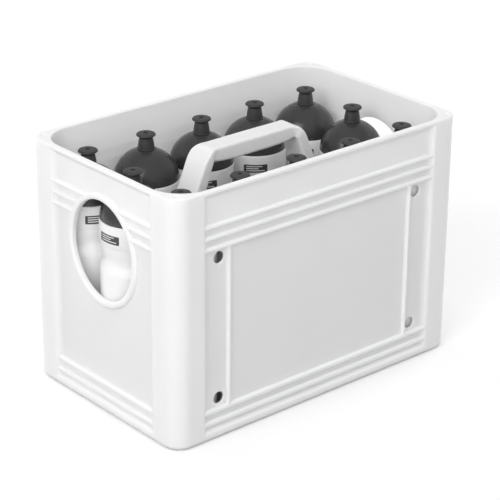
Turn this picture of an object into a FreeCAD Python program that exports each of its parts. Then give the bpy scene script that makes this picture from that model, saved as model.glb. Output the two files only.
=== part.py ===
import FreeCAD, Part
import math
import os

# A moulded crate for twelve sports bottles, in millimetres.
# The origin is the middle of the footprint on the ground: X runs along the crate, Z is up.

Vector = FreeCAD.Vector
UP = Vector(0, 0, 1)

# Places for bottles: the middle row keeps only its two end places, the handle takes the rest.
columns = 5
rows = 3

# Bottle
bottle_diameter = 73.0
bottle_body_height = 207.3
bottle_wall = 1.4
base_round = 6.0
base_dish_depth = 4.0
base_ring_width = 9.0
shoulder_round = 1.5
label_band_height = 24.6
label_step = 0.8
waist_depth = 4.0
waist_lower_run = 14.0
waist_upper_run = 18.0
neck_inset = 7.5
neck_height = 12.0
neck_wall = 2.2

# Cap, its seal and the push-pull spout
cap_inset = 0.3
cap_wall = 3.6
dome_drop = 2.0
thread_depth = 1.2
running_gap = 0.3
seal_thickness = 1.6
spout_base_diameter = 19.0
spout_waist_diameter = 15.8
spout_neck_height = 12.0
flange_diameter = 21.3
flange_height = 6.4
flange_round = 2.6
flange_crown = 0.7
mouth_diameter = 5.0
mouth_round = 0.6
stem_diameter = 11.0
stem_bore_diameter = 7.0
stem_roof = 2.4
stem_port_diameter = 2.6
spout_travel = 6.0
spout_open_gap = 0.8

# Crate walls and floor
cell_gap_x = 1.3
cell_gap_y = 1.65
wall = 2.2
panel_recess = 4.8
corner_radius = 20.0
foot_height = 4.0
foot_width = 14.0
floor_thickness = 3.0
bottle_headroom = 13.3
base_edge_round = 6.0
rim_round = 1.2
drain_diameter = 26.0
post_dimple_diameter = 8.5
post_dimple_depth = 1.5

# Relief of the walls: posts stand proud, the panels between them lie back
post_width = 36.5
post_run = 11.0
lip_height = 2.4
lip_run = 8.0
base_band_height = 8.5
base_band_run = 7.5
flank_crest_share = 0.3
relief_inset = 0.9
rib_crest_round = 1.8
rib_draft = 0.7
upper_rib_count = 3
upper_rib_drop = 39.7
upper_rib_pitch = 12.2
upper_rib_width = 5.2
lower_rib_count = 2
lower_rib_rise = 19.4
lower_rib_pitch = 13.1
lower_rib_width = 6.2
strip_spacing = 255.3
strip_width = 4.4
strip_crest_round = 1.3
label_hole_diameter = 13.0
label_hole_bevel = 1.0
label_hole_side = 11.45
label_hole_rise = 12.2

# Hand holes in the end walls
hand_hole_width = 102.0
hand_hole_height = 111.0
hand_hole_drop = 37.5
collar_width = 7.0
collar_round = 2.2

# Dividers: thin slats that cross by half laps
divider_thickness = 2.0
divider_height = 100.0
slat_gap = 0.2

# Carry handle
handle_drop = 9.5
handle_width = 32.0
grip_height = 16.0
grip_opening = 119.0
grip_leg_width = 7.5
grip_corner_round = 15.0
grip_inner_round = 9.0
knee_height = 163.0
knee_round = 40.0
foot_thickness = 20.0
handle_side_gap = 3.4
handle_edge_round = 6.0
prong_length = 10.0
prong_span = 20.0
prong_slit = 6.0
prong_hook = 1.4
prong_lead = 2.4
prong_gap = 0.2

# How far a cutting tool runs past what it cuts, and how close two points count as one
overrun = 5.0
same_place = 1e-6

# Sizes worked out from the ones above
bottle_radius = bottle_diameter / 2
pitch_x = bottle_diameter + 2 * cell_gap_x + divider_thickness
pitch_y = bottle_diameter + 2 * cell_gap_y + divider_thickness
inner_length = columns * pitch_x - divider_thickness
inner_width = rows * pitch_y - divider_thickness
inner_corner = bottle_radius + min(cell_gap_x, cell_gap_y)
crate_length = inner_length + 2 * (wall + panel_recess)
crate_width = inner_width + 2 * (wall + panel_recess)
floor_top = foot_height + floor_thickness

bottle_base = floor_top + running_gap
shoulder = bottle_base + bottle_body_height
neck_radius = bottle_radius - neck_inset
neck_top = shoulder + neck_height
seal_low = neck_top + running_gap
seal_high = seal_low + seal_thickness
cap_low = shoulder + running_gap
cap_bore = neck_radius + thread_depth + running_gap
cap_ledge = seal_high + running_gap
dome_radius = bottle_radius - cap_inset
dome_centre = cap_low - dome_drop
spout_seat = dome_centre + math.sqrt(dome_radius ** 2 - (spout_base_diameter / 2) ** 2)
spout_low = spout_seat + running_gap
flange_low = spout_low + spout_neck_height
spout_high = flange_low + flange_height
stem_high = flange_low - running_gap
plug_high = stem_high + spout_travel - spout_open_gap
crate_height = spout_high + bottle_headroom

upper_ribs = [crate_height - upper_rib_drop - n * upper_rib_pitch for n in range(upper_rib_count)]
lower_ribs = [lower_rib_rise + n * lower_rib_pitch for n in range(lower_rib_count)]
hand_hole_middle = crate_height - hand_hole_drop - hand_hole_height / 2
column_xs = [(n - (columns - 1) / 2) * pitch_x for n in range(columns)]
row_ys = [(n - (rows - 1) / 2) * pitch_y for n in range(rows)]
divider_ys = [(n - (rows - 2) / 2) * pitch_y for n in range(rows - 1)]
divider_xs = [(n - (columns - 2) / 2) * pitch_x for n in range(columns - 1)]
foot_x = divider_xs[-1] - divider_thickness / 2 - handle_side_gap


# Outlines

def upright(u, v):
    """A point of an outline that stands across the crate, in the XZ plane."""
    return Vector(u, 0, v)


def across(u, v):
    """A point of an outline in the YZ plane."""
    return Vector(0, u, v)


def plan(u, v):
    """A point of an outline seen from above, u into the wall and v along it."""
    return Vector(v, u, 0)


def face(place, start, moves):
    """A closed face from start through moves: two values end a line, four are an arc's middle and end."""
    edges = []
    here = start
    for move in [*moves, start]:
        end = move[-2:]
        if math.dist(here, end) < same_place:
            continue
        if len(move) > len(end):
            edge = Part.Arc(place(*here), place(*move[:2]), place(*end))
        else:
            edge = Part.LineSegment(place(*here), place(*end))
        edges.append(edge.toShape())
        here = end
    return Part.Face(Part.Wire(edges))


def arc_move(start, end, centre):
    """The arc from start to end about centre, on the side where the two are nearest."""
    toward = [(a + b) / 2 - c for a, b, c in zip(start, end, centre)]
    reach = math.dist(start, centre) / math.hypot(*toward)
    return (centre[0] + toward[0] * reach, centre[1] + toward[1] * reach, *end)


def ogee_moves(start, end, first_share=1 / 2):
    """An S of two arcs from start to end along the second axis, which turns over at a share of the way."""
    step = end[0] - start[0]
    run = end[1] - start[1]
    spread = (step ** 2 + run ** 2) / (2 * abs(step))
    half_turn = math.atan2(abs(step), abs(run))
    out = math.copysign(spread * (1 - math.cos(half_turn)), step)
    along = math.copysign(spread * math.sin(half_turn), run)
    rest_share = 1 - first_share
    first = (start[0] + out * first_share, start[1] + along * first_share)
    middle = (start[0] + step * first_share, start[1] + run * first_share)
    second = (end[0] - out * rest_share, end[1] - along * rest_share)
    return [(*first, *middle), (*second, *end)]


def soft_outline(place, corners):
    """A closed face through corners, each (u, v, radius) and rounded by a tangent arc of that radius."""
    moves = []
    for before, corner, after in zip(corners[-1:] + corners[:-1], corners, corners[1:] + corners[:1]):
        point = Vector(*corner[:2])
        back = (Vector(*before[:2]) - point).normalize()
        ahead = (Vector(*after[:2]) - point).normalize()
        half_angle = back.getAngle(ahead) / 2
        start = point + back * (corner[2] / math.tan(half_angle))
        end = point + ahead * (corner[2] / math.tan(half_angle))
        moves.append((start.x, start.y))
        if corner[2] > 0:
            centre = point + (back + ahead).normalize() * (corner[2] / math.sin(half_angle))
            moves.append(arc_move((start.x, start.y), (end.x, end.y), (centre.x, centre.y)))
    return face(place, moves[-1][-2:], moves)


def turned(profile):
    """A closed outline in the XZ plane, turned about the Z axis."""
    return profile.revolve(Vector(), UP, 360)


def level_edges(shape, height):
    """The edges of shape that lie flat at a height."""
    return [e for e in shape.Edges if all(abs(v.Z - height) < same_place for v in e.Vertexes)]


def rounded_block(length, width, radius, low, high):
    """A block on the Z axis with its four upright edges rounded."""
    block = Part.makeBox(length, width, high - low, Vector(-length / 2, -width / 2, low))
    posts = [e for e in block.Edges if abs(e.Vertexes[0].Z - e.Vertexes[1].Z) > same_place]
    return block.makeFillet(radius, posts)


def moved(shape, x, y):
    copy = shape.copy()
    copy.translate(Vector(x, y, 0))
    return copy


# Crate walls: each is drawn on a plane through the Z axis, y running into the wall, then set on its side

def on_side(shape, turn, distance):
    copy = shape.copy()
    copy.translate(Vector(0, -distance, 0))
    copy.rotate(Vector(), UP, turn)
    return copy


def panel_recess_tool(half_span):
    """What lies between two posts, the rim's lip and the base band, with soft S-shaped flanks."""
    bed = panel_recess
    crest_share = flank_crest_share
    root_share = 1 - crest_share
    seen_from_above = face(plan, (-overrun, -half_span), [
        (0, -half_span),
        *ogee_moves((0, -half_span), (bed, post_run - half_span), crest_share),
        (bed, half_span - post_run),
        *ogee_moves((bed, half_span - post_run), (0, half_span), root_share),
        (-overrun, half_span),
    ]).extrude(UP * crate_height)
    band_top = base_band_height + base_band_run
    lip_low = crate_height - lip_height
    seen_from_end = face(across, (-overrun, base_band_height), [
        (0, base_band_height),
        *ogee_moves((0, base_band_height), (bed, band_top), crest_share),
        (bed, lip_low - lip_run),
        *ogee_moves((bed, lip_low - lip_run), (0, lip_low), root_share),
        (-overrun, lip_low),
    ]).extrude(Vector(2 * half_span, 0, 0))
    seen_from_end.translate(Vector(-half_span, 0, 0))
    return seen_from_above.common(seen_from_end)


def ridge(place, middle, width, crest_round, length):
    """A straight moulded ridge whose root is in the wall and whose crest is rounded along both edges."""
    root = panel_recess + wall / 2
    half = width / 2
    section = face(place, (root, middle - half), [
        (panel_recess, middle - half),
        (relief_inset, middle - half + rib_draft),
        (relief_inset, middle + half - rib_draft),
        (panel_recess, middle + half),
        (root, middle + half),
    ])
    bar = section.extrude(length)
    crest = [e for e in bar.Edges if all(abs(v.Y - relief_inset) < same_place for v in e.Vertexes)]
    long_crest = [e for e in crest if abs(e.Length - length.Length) < same_place]
    return bar.makeFillet(crest_round, long_crest)


def rib(height, width, half_span):
    bar = ridge(across, height, width, rib_crest_round, Vector(2 * half_span, 0, 0))
    bar.translate(Vector(-half_span, 0, 0))
    return bar


def wall_ribs(half_span):
    upper = [rib(z, upper_rib_width, half_span) for z in upper_ribs]
    lower = [rib(z, lower_rib_width, half_span) for z in lower_ribs]
    return upper + lower


def label_strip(middle):
    """One of the two upright ridges that frame a long wall's plain panel."""
    low = lower_ribs[-1]
    bar = ridge(plan, middle, strip_width, strip_crest_round, UP * (upper_ribs[-1] - low))
    bar.translate(UP * low)
    return bar


def label_hole(x, z):
    """A round hole through a recessed panel, bevelled where it opens outwards."""
    radius = label_hole_diameter / 2
    back = panel_recess + wall + overrun / 2
    profile = face(upright, (0, 0), [
        (radius + label_hole_bevel, 0),
        (radius + label_hole_bevel, panel_recess),
        (radius, panel_recess + label_hole_bevel),
        (radius, back),
        (0, back),
    ])
    tool = turned(profile)
    tool.rotate(Vector(), Vector(1, 0, 0), -90)
    tool.translate(Vector(x, 0, z))
    return tool


def oval(grow, depth_from, depth_to):
    """An upright oval plug around the middle of the hand hole, larger than it by grow all round."""
    tall = hand_hole_height / 2 + grow
    wide = hand_hole_width / 2 + grow
    ring = Part.Ellipse(Vector(), max(tall, wide), min(tall, wide)).toShape()
    plug = Part.Face(Part.Wire(ring)).extrude(UP * (depth_to - depth_from))
    if tall > wide:
        plug.rotate(Vector(), UP, 90)
    plug.rotate(Vector(), Vector(1, 0, 0), -90)
    plug.translate(Vector(0, depth_from, hand_hole_middle))
    return plug


def hand_hole_collar():
    """The raised oval ring that stiffens a hand hole and keeps its edge kind to the fingers."""
    depth = panel_recess + wall
    ring = oval(collar_width, relief_inset, depth).cut(oval(0, relief_inset - overrun, depth + overrun))
    front = [e for e in ring.Edges if all(abs(v.Y - relief_inset) < same_place for v in e.Vertexes)]
    return ring.makeFillet(collar_round, front)


def post_dimple(sign_x, sign_y):
    """A shallow round dish in the flat top of a corner post."""
    reach = math.sqrt(0.5)
    outer = corner_radius * reach - corner_radius
    inner = inner_corner * reach - inner_corner
    x = (crate_length / 2 + outer + inner_length / 2 + inner) / 2
    y = (crate_width / 2 + outer + inner_width / 2 + inner) / 2
    half = post_dimple_diameter / 2
    ball = (half ** 2 + post_dimple_depth ** 2) / (2 * post_dimple_depth)
    top = crate_height - post_dimple_depth + ball
    return Part.makeSphere(ball, Vector(sign_x * x, sign_y * y, top))


def crate_shell():
    outside = rounded_block(crate_length, crate_width, corner_radius, 0, crate_height)
    outside = outside.makeFillet(base_edge_round, level_edges(outside, 0))
    outside = outside.makeFillet(rim_round, level_edges(outside, crate_height))
    cavity = rounded_block(inner_length, inner_width, inner_corner, floor_top, crate_height + overrun)
    shell = outside.cut(cavity)
    mouth = [
        e for e in level_edges(shell, crate_height)
        if abs(e.CenterOfMass.x) < inner_length / 2 + same_place
        and abs(e.CenterOfMass.y) < inner_width / 2 + same_place
    ]
    shell = shell.makeFillet(rim_round, mouth)

    long_span = crate_length / 2 - post_width
    end_span = crate_width / 2 - post_width
    sides = [
        (0, crate_width / 2, long_span),
        (90, crate_length / 2, end_span),
        (180, crate_width / 2, long_span),
        (270, crate_length / 2, end_span),
    ]
    cuts = [on_side(panel_recess_tool(span), turn, distance) for turn, distance, span in sides]
    shell = shell.cut(cuts)

    ridges = [on_side(r, turn, distance) for turn, distance, span in sides for r in wall_ribs(span)]
    strips = [label_strip(side * strip_spacing / 2) for side in (-1, 1)]
    ridges += [on_side(s, turn, crate_width / 2) for turn in (0, 180) for s in strips]
    shell = shell.fuse(ridges)

    breach = oval(collar_width / 2, -overrun, panel_recess + wall + overrun)
    shell = shell.cut([on_side(breach, turn, crate_length / 2) for turn in (90, 270)])
    shell = shell.fuse([on_side(hand_hole_collar(), turn, crate_length / 2) for turn in (90, 270)])

    hole_x = strip_spacing / 2 + label_hole_side
    hole_zs = (upper_ribs[-1] - label_hole_rise, lower_ribs[-1] + label_hole_rise)
    holes = [label_hole(side * hole_x, z) for side in (-1, 1) for z in hole_zs]
    openings = [on_side(h, turn, crate_width / 2) for turn in (0, 180) for h in holes]
    openings += [post_dimple(sx, sy) for sx in (-1, 1) for sy in (-1, 1)]

    under = rounded_block(
        crate_length - 2 * foot_width, crate_width - 2 * foot_width, corner_radius - base_edge_round,
        -overrun, foot_height)
    openings.append(under)
    drain = Part.makeCylinder(drain_diameter / 2, floor_top + overrun, Vector())
    openings += [moved(drain, x, y) for x in column_xs for y in row_ys]
    slot_length = prong_length + 2 * prong_gap
    slot_span = prong_span + 2 * prong_gap
    slot = Part.makeBox(
        slot_length, slot_span, floor_top + overrun, Vector(-slot_length / 2, -slot_span / 2, 0))
    openings += [moved(slot, side * (foot_x - foot_thickness / 2), 0) for side in (-1, 1)]
    return shell.cut(openings).removeSplitter()


# Dividers

def slat(length, notches, notch_low, notch_high):
    """A thin upright board along X on the floor, notched for the slats that cross it."""
    board = Part.makeBox(
        length, divider_thickness, divider_height, Vector(-length / 2, -divider_thickness / 2, floor_top))
    notch_width = divider_thickness + 2 * slat_gap
    notch = Part.makeBox(
        notch_width, divider_thickness + 2 * overrun, notch_high - notch_low,
        Vector(-notch_width / 2, -divider_thickness / 2 - overrun, notch_low))
    return board.cut([moved(notch, x, 0) for x in notches])


def long_divider():
    lap = floor_top + divider_height / 2
    above = floor_top + divider_height + overrun
    return slat(inner_length - 2 * slat_gap, divider_xs, lap - slat_gap, above)


def cross_divider():
    lap = floor_top + divider_height / 2
    board = slat(inner_width - 2 * slat_gap, divider_ys, floor_top - overrun, lap + slat_gap)
    board.rotate(Vector(), UP, 90)
    return board


# Carry handle

def handle_prongs():
    """The two hooked prongs under one leg, which snap through a slot in the floor."""
    half = prong_span / 2
    hook_top = foot_height - prong_gap
    tip = hook_top - prong_lead
    outline = [
        (half, floor_top),
        (half, hook_top),
        (half + prong_hook, hook_top),
        (half, tip),
        (prong_slit / 2, tip),
    ]
    right = face(across, (prong_slit / 2, floor_top), outline).extrude(Vector(prong_length, 0, 0))
    right.translate(Vector(-prong_length / 2, 0, 0))
    left = right.copy()
    left.rotate(Vector(), UP, 180)
    return [right, left]


def carry_handle():
    top = crate_height - handle_drop
    right_side = [
        (foot_x - foot_thickness, floor_top, 0),
        (foot_x, floor_top, 0),
        (foot_x, knee_height, knee_round),
        (grip_opening / 2 + grip_leg_width, top, grip_corner_round),
    ]
    right_inside = [
        (grip_opening / 2, top - grip_height, grip_inner_round),
        (foot_x - foot_thickness, knee_height, knee_round),
    ]
    corners = right_side
    corners = corners + [(-x, z, radius) for x, z, radius in reversed(right_side)]
    corners = corners + [(-x, z, radius) for x, z, radius in reversed(right_inside)]
    corners = corners + right_inside
    arch = soft_outline(upright, corners).extrude(Vector(0, handle_width, 0))
    arch.translate(Vector(0, -handle_width / 2, 0))
    rims = [
        e for e in arch.Edges
        if all(abs(abs(v.Y) - handle_width / 2) < same_place for v in e.Vertexes)
        and abs(e.Vertexes[0].Y - e.Vertexes[-1].Y) < same_place
        and e.CenterOfMass.z > floor_top + same_place
    ]
    arch = arch.makeFillet(handle_edge_round, rims)
    prongs = [
        moved(prong, side * (foot_x - foot_thickness / 2), 0)
        for side in (-1, 1) for prong in handle_prongs()
    ]
    return arch.fuse(prongs).removeSplitter()


# Bottle, drawn on the Z axis

def bottle_flank(inset, low):
    """The bottle's side from its base round up to the label band, drawn in by inset."""
    radius = bottle_radius - inset
    band_low = shoulder - label_band_height
    step_low = band_low - label_step
    waist = step_low - waist_upper_run
    flare = waist - waist_lower_run
    start = (radius - base_round, low)
    side = (radius, low + base_round)
    stepped = (radius - label_step, step_low)
    narrow = (radius - waist_depth, waist)
    return start, [
        arc_move(start, side, (radius - base_round, low + base_round)),
        (radius, flare),
        *ogee_moves((radius, flare), narrow),
        *ogee_moves(narrow, stepped),
        (radius, band_low),
    ]


def bottle_body():
    start, flank = bottle_flank(0, bottle_base)
    top_edge = (bottle_radius, shoulder - shoulder_round)
    top_inside = (bottle_radius - shoulder_round, shoulder)
    dish_edge = (start[0] - base_ring_width, bottle_base)
    dish_top = (0, bottle_base + base_dish_depth)
    dish_ball = (dish_edge[0] ** 2 + base_dish_depth ** 2) / (2 * base_dish_depth)
    outside = face(upright, start, [
        *flank,
        top_edge,
        arc_move(top_edge, top_inside, (top_inside[0], top_edge[1])),
        (neck_radius, shoulder),
        (neck_radius, neck_top),
        (0, neck_top),
        dish_top,
        arc_move(dish_top, dish_edge, (0, dish_top[1] - dish_ball)),
    ])
    floor = bottle_base + base_dish_depth + bottle_wall
    inner_start, inner_flank = bottle_flank(bottle_wall, floor)
    mouth = neck_radius - neck_wall
    inside = face(upright, inner_start, [
        *inner_flank,
        (bottle_radius - bottle_wall, shoulder - bottle_wall),
        (mouth, shoulder - bottle_wall),
        (mouth, neck_top + overrun),
        (0, neck_top + overrun),
        (0, floor),
    ])
    return turned(outside).cut(turned(inside))


def seal():
    """A flat ring that sits on the neck's rim, under the ledge in the cap."""
    low_inner = (neck_radius - neck_wall, seal_low)
    outer = cap_bore - running_gap
    return turned(face(upright, low_inner, [
        (outer, seal_low),
        (outer, seal_high),
        (low_inner[0], seal_high),
    ]))


def dome_height(radius, distance):
    """The height of a ball of that radius about the dome's centre, at a distance from the axis."""
    return dome_centre + math.sqrt(radius ** 2 - distance ** 2)


def cap():
    """The dome, its inner ledge, and the hollow stem whose plug closes the spout when that is down."""
    edge = (math.sqrt(dome_radius ** 2 - dome_drop ** 2), cap_low)
    seat = (spout_base_diameter / 2, spout_seat)
    stem = stem_diameter / 2
    plug = mouth_diameter / 2 - running_gap
    inner_radius = dome_radius - cap_wall
    ledge_in = math.sqrt(inner_radius ** 2 - (cap_ledge - dome_centre) ** 2)
    bore = stem_bore_diameter / 2
    centre = (0, dome_centre)
    stem_inside = (bore, dome_height(inner_radius, bore))
    profile = face(upright, (cap_bore, cap_low), [
        edge,
        arc_move(edge, seat, centre),
        (stem, spout_seat),
        (stem, stem_high),
        (plug, stem_high),
        (plug, plug_high),
        (0, plug_high),
        (0, stem_high - stem_roof),
        (bore, stem_high - stem_roof),
        stem_inside,
        arc_move(stem_inside, (ledge_in, cap_ledge), centre),
        (cap_bore, cap_ledge),
    ])
    port_z = stem_high - stem_roof - stem_port_diameter
    port = Part.makeCylinder(
        stem_port_diameter / 2, stem_diameter + overrun, Vector(-(stem_diameter + overrun) / 2, 0, port_z),
        Vector(1, 0, 0))
    return turned(profile).cut(port)


def spout():
    """A flared sleeve that slides on the cap's stem, with a mushroom flange to pull it by."""
    base = spout_base_diameter / 2
    waist = spout_waist_diameter / 2
    rim = flange_diameter / 2
    mouth = mouth_diameter / 2
    bore = stem_diameter / 2 + running_gap
    low_round = (rim - flange_round, flange_low)
    low_side = (rim, flange_low + flange_round)
    high_side = (rim, spout_high - flange_crown - flange_round)
    high_round = (rim - flange_round, spout_high - flange_crown)
    mouth_top = (mouth + mouth_round, spout_high)
    mouth_side = (mouth, spout_high - mouth_round)
    bulge = (low_round[0], low_side[1])
    crown = (low_round[0], high_side[1])
    return turned(face(upright, (bore, spout_low), [
        (base, spout_low),
        (waist, flange_low),
        low_round,
        arc_move(low_round, low_side, bulge),
        high_side,
        arc_move(high_side, high_round, crown),
        mouth_top,
        arc_move(mouth_top, mouth_side, (mouth_top[0], mouth_side[1])),
        (mouth, flange_low),
        (bore, flange_low),
    ]))


# Places of the bottles, row by row from the front, without those that the handle takes

bottle_places = [
    (x, y) for y in row_ys for x in column_xs
    if abs(y) > pitch_y / 2 or abs(x) > divider_xs[-1]
]

pieces = {
    "crate_shell": crate_shell(),
    "carry_handle": carry_handle(),
    "long_divider_front": moved(long_divider(), 0, divider_ys[0]),
    "long_divider_back": moved(long_divider(), 0, divider_ys[-1]),
}
for number, x in enumerate(divider_xs, 1):
    pieces[f"cross_divider_{number}"] = moved(cross_divider(), x, 0)
bottle_pieces = {"bottle_body": bottle_body(), "seal": seal(), "cap": cap(), "spout": spout()}
for number, (x, y) in enumerate(bottle_places, 1):
    for name, shape in bottle_pieces.items():
        pieces[f"{name}_{number:02d}"] = moved(shape, x, y)

os.makedirs("parts", exist_ok=True)
for name, shape in pieces.items():
    shape.exportStep(f"parts/{name}.step")
    print(name, len(shape.Solids), shape.isValid(), round(shape.Volume))
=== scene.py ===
import math
import bpy
from mathutils import Matrix, Vector


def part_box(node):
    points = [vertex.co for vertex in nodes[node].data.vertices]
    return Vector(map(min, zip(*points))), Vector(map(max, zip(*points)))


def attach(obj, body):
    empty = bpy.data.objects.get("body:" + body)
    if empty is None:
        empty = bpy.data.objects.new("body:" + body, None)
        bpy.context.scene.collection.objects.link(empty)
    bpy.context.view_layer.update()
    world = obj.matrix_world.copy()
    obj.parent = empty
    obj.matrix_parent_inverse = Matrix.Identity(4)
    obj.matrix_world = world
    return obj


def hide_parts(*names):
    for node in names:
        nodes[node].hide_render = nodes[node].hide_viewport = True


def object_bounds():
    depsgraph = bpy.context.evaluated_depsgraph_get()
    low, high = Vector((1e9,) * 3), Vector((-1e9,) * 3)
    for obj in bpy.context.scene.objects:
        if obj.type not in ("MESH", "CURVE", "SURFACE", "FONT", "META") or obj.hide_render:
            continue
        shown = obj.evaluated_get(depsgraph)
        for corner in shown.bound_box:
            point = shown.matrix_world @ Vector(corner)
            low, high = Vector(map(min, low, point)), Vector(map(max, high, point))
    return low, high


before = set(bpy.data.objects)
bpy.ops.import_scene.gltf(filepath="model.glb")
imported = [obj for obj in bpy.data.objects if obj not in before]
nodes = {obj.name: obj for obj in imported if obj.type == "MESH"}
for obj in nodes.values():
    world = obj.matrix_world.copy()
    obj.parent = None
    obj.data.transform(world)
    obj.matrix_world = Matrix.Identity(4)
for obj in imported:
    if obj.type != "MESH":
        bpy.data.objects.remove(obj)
cad_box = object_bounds()


# Crate shell
# One injection-moulded tub of white polypropylene: corner posts, recessed ribbed panels, a rolled
# rim, oval hand holes and a drained floor. Its satin skin comes from a spark-eroded mould.
CRATE_WHITE = (0.905, 0.905, 0.908)
CRATE_SHADE = (0.89, 0.89, 0.894)
CRATE_ROUGHNESS = (0.36, 0.46)
CRATE_GRAIN = 0.0006
CRATE_GRAIN_DEPTH = 0.00003
FLOW_MARK = 0.09
CRATE_MILK = 0.6
MELT_STOPS = (0.3, 0.7)


def add_node(tree, kind, **settings):
    """A shader node with its inputs, by name, or its own properties set."""
    made = tree.nodes.new(kind)
    for key, value in settings.items():
        if key in made.inputs:
            made.inputs[key].default_value = value
        else:
            setattr(made, key, value)
    return made


def moulded_plastic(name, light, shade, roughness, grain, depth, patch, milk=0.0, reach=0.005):
    """Plastic with a fine skin grain, and patches of tone and gloss where the melt flowed."""
    made = bpy.data.materials.new(name)
    made.use_nodes = True
    tree = made.node_tree
    surface = tree.nodes["Principled BSDF"]
    surface.inputs["Subsurface Weight"].default_value = milk
    surface.inputs["Subsurface Radius"].default_value = (1.0, 1.0, 1.0)
    surface.inputs["Subsurface Scale"].default_value = reach
    where = add_node(tree, "ShaderNodeTexCoord")
    flow = add_node(tree, "ShaderNodeTexNoise", Scale=1 / patch, Detail=3.0, Roughness=0.45)
    tone = add_node(tree, "ShaderNodeValToRGB")
    for stop, position, colour in zip(tone.color_ramp.elements, MELT_STOPS, (shade, light)):
        stop.position = position
        stop.color = (*colour, 1)
    sheen = add_node(tree, "ShaderNodeMapRange")
    sheen.inputs["To Min"].default_value, sheen.inputs["To Max"].default_value = roughness
    skin = add_node(tree, "ShaderNodeTexNoise", Scale=1 / grain, Detail=2.0, Roughness=0.6)
    relief = add_node(tree, "ShaderNodeBump", Strength=0.6, Distance=depth)
    join = tree.links.new
    join(where.outputs["Object"], flow.inputs["Vector"])
    join(where.outputs["Object"], skin.inputs["Vector"])
    join(flow.outputs["Fac"], tone.inputs["Fac"])
    join(flow.outputs["Fac"], sheen.inputs["Value"])
    join(tone.outputs["Color"], surface.inputs["Base Color"])
    join(sheen.outputs["Result"], surface.inputs["Roughness"])
    join(skin.outputs["Fac"], relief.inputs["Height"])
    join(relief.outputs["Normal"], surface.inputs["Normal"])
    return made


def finish(piece, material):
    """Gives a piece one material all over."""
    piece.data.materials.clear()
    piece.data.materials.append(material)


crate_white = moulded_plastic(
    "crate_white", CRATE_WHITE, CRATE_SHADE, CRATE_ROUGHNESS,
    CRATE_GRAIN, CRATE_GRAIN_DEPTH, FLOW_MARK, CRATE_MILK)
finish(nodes["crate_shell"], crate_white)


# Dividers
# Six thin slats of white sheet plastic, notched to cross each other by half laps. They stand on
# the crate's floor and keep the bottles apart.
SLAT_WHITE = (0.86, 0.86, 0.863)
SLAT_SHADE = (0.84, 0.84, 0.844)
SLAT_ROUGHNESS = (0.4, 0.5)
slat_white = moulded_plastic(
    "slat_white", SLAT_WHITE, SLAT_SHADE, SLAT_ROUGHNESS,
    CRATE_GRAIN, CRATE_GRAIN_DEPTH, FLOW_MARK)
for name, node in nodes.items():
    if "divider" in name:
        finish(node, slat_white)


# Carry handle
# A moulded arch: two wide, splayed legs and a narrower grip with a full belly for the palm. Hooked
# prongs under the legs snap through slots in the crate's floor.
handle_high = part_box("carry_handle")[1]
GRIP_SET_DOWN = 0.001
HANDLE_TOP = handle_high.z - GRIP_SET_DOWN
LEG_HALF = handle_high.y
LEG_OUTSIDE = handle_high.x
LEG_FOOT = 0.007
LEG_THICKNESS = 0.020
KNEE_HEIGHT = 0.163
KNEE_RUN = 0.008
KNEE_STEPS = 6
GRIP_OPENING = 0.119
GRIP_SHOULDER = 0.0075
GRIP_HEIGHT = 0.0155
GRIP_HALF = 0.0118
GRIP_BELLY = 0.0034
BELLY_FULLNESS = 4
GRIP_FLARE = (0.049, 0.069)
CORNER_RUN = 0.0165
CORNER_DISH = 0.0026
CROTCH_RUN = 0.0016
CORNER_STEPS = 10
HANDLE_EDGE = 0.0032
EDGE_STEPS = 5
EDGE_GUARD = 0.0004
FACE_SHARES = (0, 0.35, 0.7)
GRIP_STEPS = 14
PRONG_SPAN = 0.020
PRONG_SLIT = 0.006
PRONG_LENGTH = 0.010
PRONG_HOOK = 0.0014
PRONG_TIP = (0.0038, 0.0014)
HANDLE_WHITE = (0.855, 0.855, 0.858)
HANDLE_SHADE = (0.84, 0.84, 0.844)
HANDLE_ROUGHNESS = (0.3, 0.4)
SMOOTH_ANGLE = math.radians(40)
MERGE_REACH = 0.000001


def arch(start, pull, end, count):
    """Points along a curve from start to end that leans towards pull, with both ends."""
    points = []
    for step in range(count + 1):
        along = step / count
        first = Vector(start).lerp(Vector(pull), along)
        points.append(tuple(first.lerp(Vector(pull).lerp(Vector(end), along), along)))
    return points


def rounded(corner, run, before, after, count=3):
    """A corner of an outline, with a round that starts and ends at that distance in its place."""
    point = Vector(corner)
    start = point + (Vector(before) - point).normalized() * run
    end = point + (Vector(after) - point).normalized() * run
    return arch(start, point, end, count)


def eased(share):
    """A share from 0 to 1, slowed at both ends."""
    return share * share * (3 - 2 * share)


def handle_lines():
    """The arch's outer and inner line in step: (x, z) points from right foot to grip's middle."""
    foot = (LEG_OUTSIDE, LEG_FOOT)
    knee = (LEG_OUTSIDE, KNEE_HEIGHT)
    shoulder = (GRIP_OPENING / 2 + GRIP_SHOULDER, HANDLE_TOP)
    foot_in = (LEG_OUTSIDE - LEG_THICKNESS, LEG_FOOT)
    knee_in = (LEG_OUTSIDE - LEG_THICKNESS, KNEE_HEIGHT)
    crotch = (GRIP_OPENING / 2, HANDLE_TOP - GRIP_HEIGHT)
    outer = [foot, *rounded(knee, KNEE_RUN, foot, shoulder, KNEE_STEPS)]
    outer += rounded(shoulder, CORNER_RUN, knee, (0, HANDLE_TOP), CORNER_STEPS)
    inner = [foot_in, *rounded(knee_in, KNEE_RUN, foot_in, crotch, KNEE_STEPS)]
    inner += rounded(crotch, CROTCH_RUN, knee_in, (0, crotch[1]), CORNER_STEPS)
    grip_end, belly_end = outer[-1][0], inner[-1][0]
    for step in range(1, GRIP_STEPS + 1):
        left = 1 - step / GRIP_STEPS
        outer.append((grip_end * left, HANDLE_TOP))
        sag = GRIP_BELLY * (1 - left ** BELLY_FULLNESS)
        inner.append((belly_end * left, crotch[1] - sag))
    return outer, inner


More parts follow.
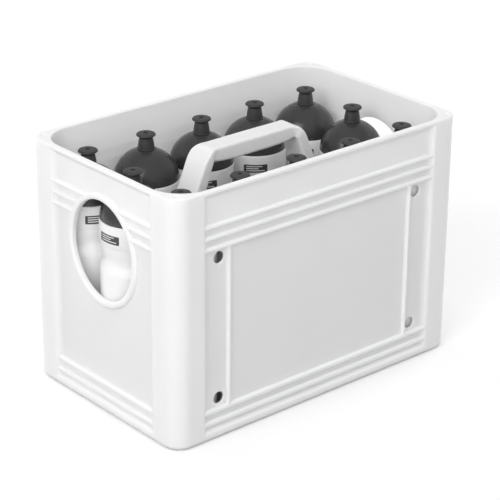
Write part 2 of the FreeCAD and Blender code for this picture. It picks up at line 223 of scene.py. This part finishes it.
def handle_ring(top, bottom):
    """The arch's section from an outer to an inner point, with round edges and dished corners."""
    out = Vector((top[0], 0, top[1]))
    thick = out - Vector((bottom[0], 0, bottom[1]))
    deep = thick.length
    flare_start, flare_end = GRIP_FLARE
    flare = min(max((abs(top[0]) - flare_start) / (flare_end - flare_start), 0), 1)
    half = GRIP_HALF + (LEG_HALF - GRIP_HALF) * eased(flare)
    lean = thick.normalized()
    dish = CORNER_DISH * math.sin(2 * math.atan2(abs(lean.x), lean.z)) ** 2
    flat = half - HANDLE_EDGE
    side = [(0, flat * share) for share in FACE_SHARES] + [(0, flat - EDGE_GUARD)]
    for step in range(EDGE_STEPS + 1):
        angle = math.pi / 2 * step / EDGE_STEPS
        side.append((HANDLE_EDGE * (1 - math.cos(angle)), flat + HANDLE_EDGE * math.sin(angle)))
    side.append((HANDLE_EDGE + EDGE_GUARD, half))
    lower = [(deep - down, across) for down, across in reversed(side)]
    half_ring = side + lower
    ring = half_ring + [(down, -across) for down, across in reversed(half_ring[1:-1])]
    places = []
    for down, across in ring:
        hollow = dish * (1 - (across / half) ** 2) * (1 - down / deep)
        places.append(out - lean * (down + hollow) + Vector((0, across, 0)))
    return places


def carry_arch():
    """A flat grid, a column for each section of the arch, rolled up and closed under the feet."""
    outer, inner = handle_lines()
    pairs = list(zip(outer, inner))
    pairs += [((-top[0], top[1]), (-bottom[0], bottom[1])) for top, bottom in reversed(pairs[:-1])]
    rings = [handle_ring(top, bottom) for top, bottom in pairs]
    columns, rows = len(rings), len(rings[0])
    bpy.ops.object.select_all(action="DESELECT")
    bpy.ops.mesh.primitive_grid_add(x_subdivisions=columns - 1, y_subdivisions=rows, size=2.0)
    piece = bpy.context.object
    piece.name = "carry_arch"
    for vertex in piece.data.vertices:
        column = round((vertex.co.x + 1) / 2 * (columns - 1))
        row = round((vertex.co.y + 1) / 2 * rows)
        vertex.co = rings[column][row % rows]
    bpy.ops.object.mode_set(mode="EDIT")
    bpy.ops.mesh.select_all(action="SELECT")
    bpy.ops.mesh.remove_doubles(threshold=MERGE_REACH)
    bpy.ops.mesh.fill_holes(sides=rows)
    bpy.ops.mesh.select_all(action="SELECT")
    bpy.ops.mesh.normals_make_consistent(inside=False)
    bpy.ops.object.mode_set(mode="OBJECT")
    bpy.ops.object.shade_smooth_by_angle(angle=SMOOTH_ANGLE)
    return piece


def drawn_line(name, points):
    """A line of edges through points, each drawn from the last, left selected in edit mode."""
    bpy.ops.object.select_all(action="DESELECT")
    bpy.ops.mesh.primitive_plane_add(size=LEG_THICKNESS)
    piece = bpy.context.object
    piece.name = name
    bpy.ops.object.mode_set(mode="EDIT")
    bpy.ops.mesh.merge(type="CENTER")
    bpy.ops.transform.translate(value=points[0])
    for here, there in zip(points, points[1:]):
        step = Vector(there) - Vector(here)
        bpy.ops.mesh.extrude_vertices_move(TRANSFORM_OT_translate={"value": step})
    bpy.ops.mesh.select_all(action="SELECT")
    return piece


def snap_prong(x, side):
    """One prong under a leg, drawn from its side with hook and lead-in, then given its length."""
    hook_top, tip = PRONG_TIP
    outline = [
        (PRONG_SLIT / 2, LEG_FOOT),
        (PRONG_SPAN / 2, LEG_FOOT),
        (PRONG_SPAN / 2, hook_top),
        (PRONG_SPAN / 2 + PRONG_HOOK, hook_top),
        (PRONG_SPAN / 2, tip),
        (PRONG_SLIT / 2, tip),
        (PRONG_SLIT / 2, LEG_FOOT),
    ]
    piece = drawn_line("snap_prong", [(x - PRONG_LENGTH / 2, side * y, z) for y, z in outline])
    bpy.ops.mesh.remove_doubles(threshold=MERGE_REACH)
    bpy.ops.mesh.edge_face_add()
    bpy.ops.mesh.extrude_region_move(TRANSFORM_OT_translate={"value": (PRONG_LENGTH, 0, 0)})
    bpy.ops.mesh.select_all(action="SELECT")
    bpy.ops.mesh.normals_make_consistent(inside=False)
    bpy.ops.object.mode_set(mode="OBJECT")
    return piece


handle_white = moulded_plastic(
    "handle_white", HANDLE_WHITE, HANDLE_SHADE, HANDLE_ROUGHNESS,
    CRATE_GRAIN, CRATE_GRAIN_DEPTH, FLOW_MARK, CRATE_MILK)
handle = carry_arch()
leg_middle = LEG_OUTSIDE - LEG_THICKNESS / 2
prongs = [snap_prong(x, side) for x in (-leg_middle, leg_middle) for side in (-1, 1)]
bpy.ops.object.select_all(action="DESELECT")
for prong in prongs:
    prong.select_set(True)
handle.select_set(True)
bpy.context.view_layer.objects.active = handle
bpy.ops.object.join()
finish(handle, handle_white)
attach(handle, "crate")
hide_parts("carry_handle")


# Bottles
# Twelve squeeze bottles blown from milky polyethylene, each with a drawn-in grip waist, a label
# band and a neck for the cap. They stand loose in their places and lift straight out.
bottle_numbers = [name[-2:] for name in sorted(nodes) if name.startswith("bottle_body")]
bottle_low, bottle_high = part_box("bottle_body_01")
BOTTLE_RADIUS = (bottle_high.x - bottle_low.x) / 2
BOTTLE_BASE = bottle_low.z
NECK_TOP = bottle_high.z
NECK_HEIGHT = 0.012
NECK_SET_IN = 0.0075
NECK_RADIUS = BOTTLE_RADIUS - NECK_SET_IN
NECK_WALL = 0.0022
BOTTLE_WALL = 0.0014
BASE_ROUND = 0.006
BASE_RING = 0.009
BASE_DISH = 0.004
SHOULDER = NECK_TOP - NECK_HEIGHT
SHOULDER_ROUND = 0.0015
LABEL_BAND = 0.0246
BAND_STEP = 0.0008
WAIST_DEPTH = 0.004
WAIST_UPPER_RUN = 0.018
WAIST_LOWER_RUN = 0.014
LIP_ROUND = 0.0005
BOTTLE_SIDES = 96
WAIST_STEPS = 10
FOOT_STEPS = 6
SMALL_STEPS = 4
BOTTLE_WHITE = (0.95, 0.95, 0.95)
BOTTLE_SHADE = (0.94, 0.94, 0.941)
BOTTLE_ROUGHNESS = (0.29, 0.35)
BOTTLE_GRAIN = 0.0009
BOTTLE_GRAIN_DEPTH = 0.00002
BOTTLE_FLOW = 0.05
BOTTLE_MILK = 0.3
BOTTLE_MILK_REACH = 0.0004


def bow(start, end, centre, count):
    """Points along the arc from start to end about centre, the short way round, without start."""
    first = math.atan2(start[1] - centre[1], start[0] - centre[0])
    sweep = math.atan2(end[1] - centre[1], end[0] - centre[0]) - first
    sweep = (sweep + math.pi) % math.tau - math.pi
    radius = math.dist(start, centre)
    angles = [first + sweep * step / count for step in range(1, count + 1)]
    return [(centre[0] + radius * math.cos(a), centre[1] + radius * math.sin(a)) for a in angles]


def swell(start, end, count):
    """Points along a soft S from start to end, upright at both ends, without start."""
    points = []
    for step in range(1, count + 1):
        along = step / count
        radius = start[0] + (end[0] - start[0]) * eased(along)
        points.append((radius, start[1] + (end[1] - start[1]) * along))
    return points


def spun(name, outline, sides, closed=False):
    """A shape of revolution: a line through (radius, height) points, spun about Z."""
    path = outline + outline[:1] if closed else outline
    piece = drawn_line(name, [(radius, 0, height) for radius, height in path])
    bpy.ops.mesh.spin(steps=sides, angle=math.tau, center=(0, 0, 0), axis=(0, 0, 1))
    bpy.ops.mesh.select_all(action="SELECT")
    bpy.ops.mesh.remove_doubles(threshold=2 * MERGE_REACH)
    bpy.ops.mesh.normals_make_consistent(inside=False)
    bpy.ops.object.mode_set(mode="OBJECT")
    bpy.ops.object.shade_smooth_by_angle(angle=SMOOTH_ANGLE)
    return piece


def stand_copies(piece, node_name, body_name, material):
    """Copies a piece made on the Z axis to each bottle's place, where it stands for a CAD node."""
    copies = []
    for number in bottle_numbers:
        low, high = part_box("bottle_body_" + number)
        copy = piece.copy()
        copy.data = piece.data.copy()
        copy.name = f"{piece.name}_{number}"
        copy.data.transform(Matrix.Translation(((low.x + high.x) / 2, (low.y + high.y) / 2, 0)))
        bpy.context.scene.collection.objects.link(copy)
        finish(copy, material)
        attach(copy, body_name + number)
        if node_name:
            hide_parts(node_name + number)
        copies.append(copy)
    bpy.data.objects.remove(piece)
    return copies


def bottle_side(inset, low):
    """The bottle's side, drawn in by inset, from its base up to the label band."""
    radius = BOTTLE_RADIUS - inset
    band_low = SHOULDER - LABEL_BAND
    step_low = band_low - BAND_STEP
    waist = step_low - WAIST_UPPER_RUN
    flare = waist - WAIST_LOWER_RUN
    corner = (radius - BASE_ROUND, low)
    side = (radius, low + BASE_ROUND)
    narrow = (radius - WAIST_DEPTH, waist)
    stepped = (radius - BAND_STEP, step_low)
    return [
        corner,
        *bow(corner, side, (corner[0], side[1]), FOOT_STEPS),
        (radius, (side[1] + flare) / 2),
        (radius, flare),
        *swell((radius, flare), narrow, WAIST_STEPS),
        *swell(narrow, stepped, WAIST_STEPS),
        *swell(stepped, (radius, band_low), SMALL_STEPS),
    ]


def bottle_outline():
    """Half the bottle's section: up its outside from the base's dish, and down its inside."""
    dish_edge = BOTTLE_RADIUS - BASE_ROUND - BASE_RING
    dish_ball = (dish_edge ** 2 + BASE_DISH ** 2) / (2 * BASE_DISH)
    dish_top = (0, BOTTLE_BASE + BASE_DISH)
    dish_centre = (0, dish_top[1] - dish_ball)
    rim = (BOTTLE_RADIUS, SHOULDER - SHOULDER_ROUND)
    shoulder = (BOTTLE_RADIUS - SHOULDER_ROUND, SHOULDER)
    root = (NECK_RADIUS, SHOULDER)
    lip = (NECK_RADIUS, NECK_TOP)
    mouth = NECK_RADIUS - NECK_WALL
    lip_inside = (mouth, NECK_TOP)
    ceiling = SHOULDER - BOTTLE_WALL
    inside = bottle_side(BOTTLE_WALL, BOTTLE_BASE + BASE_DISH + BOTTLE_WALL)
    return [
        dish_top,
        *bow(dish_top, (dish_edge, BOTTLE_BASE), dish_centre, FOOT_STEPS),
        *bottle_side(0, BOTTLE_BASE),
        rim,
        *bow(rim, shoulder, (shoulder[0], rim[1]), SMALL_STEPS),
        *rounded(root, LIP_ROUND, shoulder, lip),
        *rounded(lip, LIP_ROUND, root, lip_inside),
        *rounded(lip_inside, LIP_ROUND, lip, (mouth, ceiling)),
        (mouth, ceiling),
        (BOTTLE_RADIUS - BOTTLE_WALL, ceiling),
        *reversed(inside),
        (0, inside[0][1]),
    ]


bottle_white = moulded_plastic(
    "bottle_white", BOTTLE_WHITE, BOTTLE_SHADE, BOTTLE_ROUGHNESS,
    BOTTLE_GRAIN, BOTTLE_GRAIN_DEPTH, BOTTLE_FLOW, BOTTLE_MILK, BOTTLE_MILK_REACH)
bottle = spun("bottle_shell", bottle_outline(), BOTTLE_SIDES)
stand_copies(bottle, "bottle_body_", "bottle_", bottle_white)


# Neck threads
# A single helical ridge on each bottle's neck, of the same polyethylene and moulded with it, that
# the cap screws down on.
THREAD_PITCH = 0.005
THREAD_TURNS = 1.6
THREAD_DEPTH = 0.001
THREAD_ROOT = 0.0024
THREAD_CREST = 0.0009
THREAD_RISE = 0.0024
THREAD_LOW = SHOULDER + THREAD_RISE
THREAD_STEPS = 120
THREAD_SINK = 0.96


def neck_thread():
    """A ridge's section, run up a helix by a screw modifier, with both ends sunk into the neck."""
    bpy.ops.object.select_all(action="DESELECT")
    bpy.ops.mesh.primitive_plane_add(size=2.0)
    piece = bpy.context.object
    piece.name = "neck_thread"
    root = NECK_RADIUS - LIP_ROUND
    crest = NECK_RADIUS + THREAD_DEPTH
    section = {
        (-1, -1): (root, -THREAD_ROOT / 2),
        (-1, 1): (root, THREAD_ROOT / 2),
        (1, -1): (crest, -THREAD_CREST / 2),
        (1, 1): (crest, THREAD_CREST / 2),
    }
    for vertex in piece.data.vertices:
        radius, height = section[round(vertex.co.x), round(vertex.co.y)]
        vertex.co = (radius, 0, THREAD_LOW + height)
    bpy.ops.object.mode_set(mode="EDIT")
    bpy.ops.mesh.select_all(action="SELECT")
    bpy.ops.mesh.delete(type="ONLY_FACE")
    bpy.ops.object.mode_set(mode="OBJECT")
    helix = piece.modifiers.new("helix", "SCREW")
    helix.angle = math.tau * THREAD_TURNS
    helix.screw_offset = THREAD_PITCH * THREAD_TURNS
    helix.steps = helix.render_steps = THREAD_STEPS
    bpy.ops.object.modifier_apply(modifier=helix.name)
    bpy.ops.object.mode_set(mode="EDIT")
    bpy.ops.mesh.select_all(action="DESELECT")
    bpy.ops.mesh.select_non_manifold()
    bpy.ops.transform.resize(value=(THREAD_SINK, THREAD_SINK, 1), center_override=(0, 0, 0))
    bpy.ops.mesh.fill_holes(sides=len(section))
    bpy.ops.mesh.select_all(action="SELECT")
    bpy.ops.mesh.normals_make_consistent(inside=False)
    bpy.ops.object.mode_set(mode="OBJECT")
    bpy.ops.object.shade_smooth_by_angle(angle=SMOOTH_ANGLE)
    return piece


stand_copies(neck_thread(), None, "bottle_", bottle_white)


# Labels
# A dark screen print on each label band, bare but for three plain bars where the bottle's white
# shows through. The bottles stand as they were put in, so each print faces its own way.
LABEL_WIDTH = 0.027
LABEL_HEIGHT = 0.0095
LABEL_DROP = 0.0148
LABEL_MIDDLE = SHOULDER - LABEL_DROP
LABEL_CORNER = 0.0009
LABEL_SKIN = 0.00012
LABEL_STRIPS = 18
BAR_HEIGHT = 0.0011
BAR_SHARES = ((0.10, 0.78, 0.72), (0.10, 0.62, 0.46), (0.10, 0.88, 0.20))
LABEL_FACING = math.radians(-129)
LABEL_TURNS = {
    "01": 30, "02": -20, "03": 12, "04": 50, "05": -14, "06": -45,
    "07": 8, "08": 17, "09": 4, "10": 6, "11": 1, "12": -8,
}
LABEL_INK = (0.045, 0.045, 0.047)
LABEL_INK_WORN = (0.06, 0.06, 0.062)


def label_print():
    """A flat plate with round corners, cut into strips and bars, then wrapped round the band."""
    bpy.ops.object.select_all(action="DESELECT")
    bpy.ops.mesh.primitive_plane_add(size=1.0)
    piece = bpy.context.object
    piece.name = "bottle_label"
    bpy.ops.object.mode_set(mode="EDIT")
    bpy.ops.transform.resize(value=(LABEL_WIDTH, LABEL_HEIGHT, 1), center_override=(0, 0, 0))
    bpy.ops.mesh.bevel(offset=LABEL_CORNER, segments=4, affect="VERTICES")
    bars = []
    for left_share, right_share, height_share in BAR_SHARES:
        left, right = ((share - 0.5) * LABEL_WIDTH for share in (left_share, right_share))
        low = (height_share - 0.5) * LABEL_HEIGHT
        bars.append((left, right, low, low + BAR_HEIGHT))
    across = [(step / LABEL_STRIPS - 0.5) * LABEL_WIDTH for step in range(1, LABEL_STRIPS)]
    across += [side for bar in bars for side in bar[:2]]
    for place in across:
        bpy.ops.mesh.select_all(action="SELECT")
        bpy.ops.mesh.bisect(plane_co=(place, 0, 0), plane_no=(1, 0, 0))
    for place in [side for bar in bars for side in bar[2:]]:
        bpy.ops.mesh.select_all(action="SELECT")
        bpy.ops.mesh.bisect(plane_co=(0, place, 0), plane_no=(0, 1, 0))
    bpy.ops.mesh.select_mode(type="FACE")
    bpy.ops.mesh.select_all(action="DESELECT")
    bpy.ops.object.mode_set(mode="OBJECT")
    for face in piece.data.polygons:
        x, y, _ = face.center
        face.select = any(left < x < right and low < y < high for left, right, low, high in bars)
    bpy.ops.object.mode_set(mode="EDIT")
    bpy.ops.mesh.delete(type="FACE")
    bpy.ops.mesh.select_mode(type="VERT")
    bpy.ops.object.mode_set(mode="OBJECT")
    for vertex in piece.data.vertices:
        angle = vertex.co.x / BOTTLE_RADIUS
        height = LABEL_MIDDLE + vertex.co.y
        vertex.co = (BOTTLE_RADIUS * math.cos(angle), BOTTLE_RADIUS * math.sin(angle), height)
    skin = piece.modifiers.new("skin", "SOLIDIFY")
    skin.thickness = LABEL_SKIN * 2
    skin.offset = 0
    bpy.ops.object.modifier_apply(modifier=skin.name)
    bpy.ops.object.shade_smooth_by_angle(angle=SMOOTH_ANGLE)
    return piece


label_ink = moulded_plastic(
    "label_ink", LABEL_INK_WORN, LABEL_INK,
    roughness=(0.4, 0.55), grain=0.0004, depth=0.00001, patch=0.006)
for label in stand_copies(label_print(), None, "bottle_", label_ink):
    number = label.name[-2:]
    low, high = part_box("bottle_body_" + number)
    stand = Matrix.Translation(((low.x + high.x) / 2, (low.y + high.y) / 2, 0))
    turn = Matrix.Rotation(LABEL_FACING + math.radians(LABEL_TURNS[number]), 4, "Z")
    label.data.transform(stand @ turn @ stand.inverted())


# Caps
# Black polypropylene domes, moulded in one with the hollow stem on which the spout slides. They
# screw down on the necks.
cap_low, cap_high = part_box("cap_01")
CAP_EDGE = (cap_high.x - cap_low.x) / 2
CAP_LOW = cap_low.z
PLUG_TOP = cap_high.z
spout_low, spout_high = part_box("spout_01")
SPOUT_LOW = spout_low.z
SPOUT_TOP = spout_high.z
RUNNING_GAP = 0.0003
SPOUT_SEAT = SPOUT_LOW - RUNNING_GAP
DOME_DROP = 0.002
DOME_RADIUS = math.hypot(CAP_EDGE, DOME_DROP)
DOME_CENTRE = CAP_LOW - DOME_DROP
CAP_WALL = 0.0036
CAP_CLEARANCE = 0.0015
CAP_BORE = NECK_RADIUS + CAP_CLEARANCE
SEAL_ROOM = 0.0022
CAP_LEDGE = NECK_TOP + SEAL_ROOM
SPOUT_BASE = 0.0095
STEM_RADIUS = 0.0055
STEM_BORE = 0.0035
STEM_HEIGHT = 0.0117
STEM_TOP = SPOUT_LOW + STEM_HEIGHT
STEM_ROOF = 0.0024
PLUG_RADIUS = 0.0022
CAP_SIDES = 96
DOME_STEPS = 20
DOME_INSIDE_STEPS = 12
CAP_BLACK = (0.048, 0.048, 0.049)
CAP_SHADE = (0.042, 0.042, 0.043)


def dome_point(radius, distance):
    """The point of a ball about the dome's centre at a distance from the axis."""
    return (distance, DOME_CENTRE + math.sqrt(radius ** 2 - distance ** 2))


def cap_outline():
    """Half the cap's section: from the stem's roof down the inside, and up over the dome."""
    centre = (0, DOME_CENTRE)
    bore_low = (CAP_BORE, CAP_LOW)
    edge = (CAP_EDGE, CAP_LOW)
    low_rise = DOME_DROP + LIP_ROUND
    dome_low = (math.sqrt(DOME_RADIUS ** 2 - low_rise ** 2), CAP_LOW + LIP_ROUND)
    seat = (SPOUT_BASE, SPOUT_SEAT)
    stem_root = (STEM_RADIUS, SPOUT_SEAT)
    stem_top = (STEM_RADIUS, STEM_TOP)
    plug_root = (PLUG_RADIUS, STEM_TOP)
    plug_top = (PLUG_RADIUS, PLUG_TOP)
    inner = DOME_RADIUS - CAP_WALL
    stem_inside = dome_point(inner, STEM_BORE)
    ledge_in = (math.sqrt(inner ** 2 - (CAP_LEDGE - DOME_CENTRE) ** 2), CAP_LEDGE)
    roof = STEM_TOP - STEM_ROOF
    return [
        (0, roof),
        (STEM_BORE, roof),
        stem_inside,
        *bow(stem_inside, ledge_in, centre, DOME_INSIDE_STEPS),
        (CAP_BORE, CAP_LEDGE),
        *rounded(bore_low, LIP_ROUND, (CAP_BORE, CAP_LEDGE), edge),
        *rounded(edge, LIP_ROUND, bore_low, dome_low),
        *bow(dome_low, seat, centre, DOME_STEPS),
        *rounded(stem_root, LIP_ROUND, seat, stem_top),
        *rounded(stem_top, LIP_ROUND, stem_root, plug_root),
        plug_root,
        *rounded(plug_top, LIP_ROUND, plug_root, (0, PLUG_TOP)),
        (0, PLUG_TOP),
    ]


cap_black = moulded_plastic(
    "cap_black", CAP_BLACK, CAP_SHADE,
    roughness=(0.2, 0.265), grain=0.0007, depth=0.00002, patch=0.02)
cap = spun("cap_dome", cap_outline(), CAP_SIDES)
stand_copies(cap, "cap_", "cap_", cap_black)


# Spouts
# Soft black elastomer sleeves with a flared foot and a mushroom flange to pull on with the teeth.
# They are pushed over the caps' stems, and slide up to open.
SPOUT_FOOT = 0.0098
SPOUT_NECK = 0.0091
SPOUT_BULGE = 0.0087
SPOUT_WAIST = 0.0072
FOOT_RUN = 0.0014
FLANGE_RISE = 0.0132
FLANGE_LOW = SPOUT_LOW + FLANGE_RISE
FLANGE_RADIUS = (spout_high.x - spout_low.x) / 2
FLANGE_SIDE_RISE = 0.0156
FLANGE_SIDE = SPOUT_LOW + FLANGE_SIDE_RISE
FLANGE_ROUND = 0.0022
FLANGE_CROWN = 0.0007
MOUTH_RADIUS = 0.0025
SPOUT_BORE = STEM_RADIUS + RUNNING_GAP
SPOUT_SIDES = 64
SPOUT_BLACK = (0.042, 0.042, 0.043)
SPOUT_SHADE = (0.036, 0.036, 0.037)


def spout_outline():
    """Half the spout's section: its foot, its bulging neck, its flange, and back down its bore."""
    bore_low = (SPOUT_BORE, SPOUT_LOW)
    foot = (SPOUT_FOOT, SPOUT_LOW)
    foot_edge = (SPOUT_FOOT, SPOUT_LOW + LIP_ROUND)
    neck = (SPOUT_NECK, SPOUT_LOW + FOOT_RUN)
    bulge = (SPOUT_BULGE, (neck[1] + FLANGE_LOW) / 2)
    waist = (SPOUT_WAIST, FLANGE_LOW)
    side = (FLANGE_RADIUS, FLANGE_SIDE)
    shoulder = (FLANGE_RADIUS - FLANGE_ROUND, SPOUT_TOP - FLANGE_CROWN)
    mouth_top = (MOUTH_RADIUS, SPOUT_TOP)
    mouth_low = (MOUTH_RADIUS, FLANGE_LOW)
    return [
        *rounded(bore_low, LIP_ROUND, (SPOUT_BORE, FLANGE_LOW), foot),
        *rounded(foot, LIP_ROUND / 2, bore_low, foot_edge),
        *arch(foot_edge, (SPOUT_NECK, foot_edge[1]), neck, 5),
        *arch(neck, bulge, waist, 8)[1:-1],
        *rounded(waist, LIP_ROUND * 2, bulge, side),
        *arch(waist, side, side, 4)[2:-1],
        *arch(side, (FLANGE_RADIUS, shoulder[1]), shoulder, 8),
        *rounded(mouth_top, LIP_ROUND * 2, shoulder, mouth_low),
        mouth_low,
        (SPOUT_BORE, FLANGE_LOW),
    ]


spout_black = moulded_plastic(
    "spout_black", SPOUT_BLACK, SPOUT_SHADE,
    roughness=(0.4, 0.5), grain=0.0005, depth=0.00003, patch=0.012)
spout = spun("spout_sleeve", spout_outline(), SPOUT_SIDES, closed=True)
stand_copies(spout, "spout_", "spout_", spout_black)


# Seals
# Flat rings of grey silicone, pressed between the bottles' necks and the ledges inside the caps.
# They stay in the caps and rise with them.
SEAL_GREY = (0.5, 0.5, 0.5)
SEAL_SHADE = (0.45, 0.45, 0.45)
seal_grey = moulded_plastic(
    "seal_grey", SEAL_GREY, SEAL_SHADE,
    roughness=(0.4, 0.5), grain=0.0005, depth=0.00002, patch=0.01)
for number in bottle_numbers:
    finish(nodes["seal_" + number], seal_grey)


# Studio
# A white floor that stays bright in the object's soft shadow, and under it a greyer one that only
# gives the object its bounced light. Large soft lamps stand all round, the key on the left.
FLOOR_SIZE = 12.0
FLOOR_WHITE = (0.93, 0.93, 0.93)
FLOOR_GLOW = 0.05
BOUNCE_GREY = (0.5, 0.5, 0.5)
BOUNCE_DROP = 0.0005
FLOOR_ROUGHNESS = 0.9
ROOM_LIGHT = 0.48


def studio_floor(name, height, colour, glow):
    """A plain matt sheet under the object."""
    bpy.ops.object.select_all(action="DESELECT")
    bpy.ops.mesh.primitive_plane_add(size=FLOOR_SIZE, location=(0, 0, height))
    bpy.ops.object.transform_apply(location=True)
    sheet = bpy.context.object
    sheet.name = name
    paint = bpy.data.materials.new(name)
    paint.use_nodes = True
    surface = paint.node_tree.nodes["Principled BSDF"]
    surface.inputs["Base Color"].default_value = (*colour, 1)
    surface.inputs["Roughness"].default_value = FLOOR_ROUGHNESS
    surface.inputs["Emission Color"].default_value = (1, 1, 1, 1)
    surface.inputs["Emission Strength"].default_value = glow
    paint.cycles.emission_sampling = "NONE"
    finish(sheet, paint)
    return sheet


floor = studio_floor("floor", 0, FLOOR_WHITE, FLOOR_GLOW)
floor.visible_diffuse = False
floor.visible_shadow = False
bounce = studio_floor("floor_bounce", -BOUNCE_DROP, BOUNCE_GREY, 0)
bounce.visible_camera = False
bounce.visible_glossy = False

scene = bpy.context.scene
scene.view_settings.view_transform = "Standard"
world = bpy.data.worlds.new("studio")
scene.world = world
world.use_nodes = True
room = world.node_tree.nodes["Background"]
room.inputs["Color"].default_value = (1, 1, 1, 1)
room.inputs["Strength"].default_value = ROOM_LIGHT


def soft_box(name, place, aim, size, power):
    """A square area light at place, facing aim."""
    lamp = bpy.data.lights.new(name, "AREA")
    lamp.size = size
    lamp.energy = power
    made = bpy.data.objects.new(name, lamp)
    scene.collection.objects.link(made)
    made.location = place
    made.rotation_euler = (Vector(aim) - Vector(place)).to_track_quat("-Z", "Y").to_euler()
    return made


middle = (0, 0, cad_box[1][2] / 2)
soft_box("key_left", place=(-2.2, -0.6, 1.6), aim=middle, size=1.6, power=27)
for name, place, size, power in (
    ("camera_fill", (-1.5, -1.8, 0.8), 1.4, 5),
    ("front_high", (-0.7, -1.5, 2.3), 2.6, 24),
    ("back_low", (-0.2, 2.0, 0.6), 1.4, 22),
    ("right_low", (2.2, 0.2, 0.6), 1.4, 24),
):
    soft_box(name, place, middle, size, power).visible_glossy = False


# Camera
# A long lens at the distance, height and turn that were fitted to the crate's edges.
VIEW_AZIMUTH = math.radians(-40.959)
VIEW_ELEVATION = math.radians(23.724)
VIEW_ROLL = math.radians(0.533)
VIEW_DISTANCE = 2.12013
VIEW_SHIFT = (0.003493, -0.006734)
LENS = 138.594
SENSOR = 36.0
camera_data = bpy.data.cameras.new("view")
camera_data.lens = LENS
camera_data.sensor_width = SENSOR
camera = bpy.data.objects.new("view", camera_data)
scene.collection.objects.link(camera)
turn = (
    Matrix.Rotation(VIEW_AZIMUTH, 4, "Z")
    @ Matrix.Rotation(math.pi / 2 - VIEW_ELEVATION, 4, "X")
    @ Matrix.Rotation(VIEW_ROLL, 4, "Z")
)
back = Matrix.Translation((*VIEW_SHIFT, VIEW_DISTANCE))
camera.matrix_world = Matrix.Translation(middle) @ turn @ back
scene.camera = camera
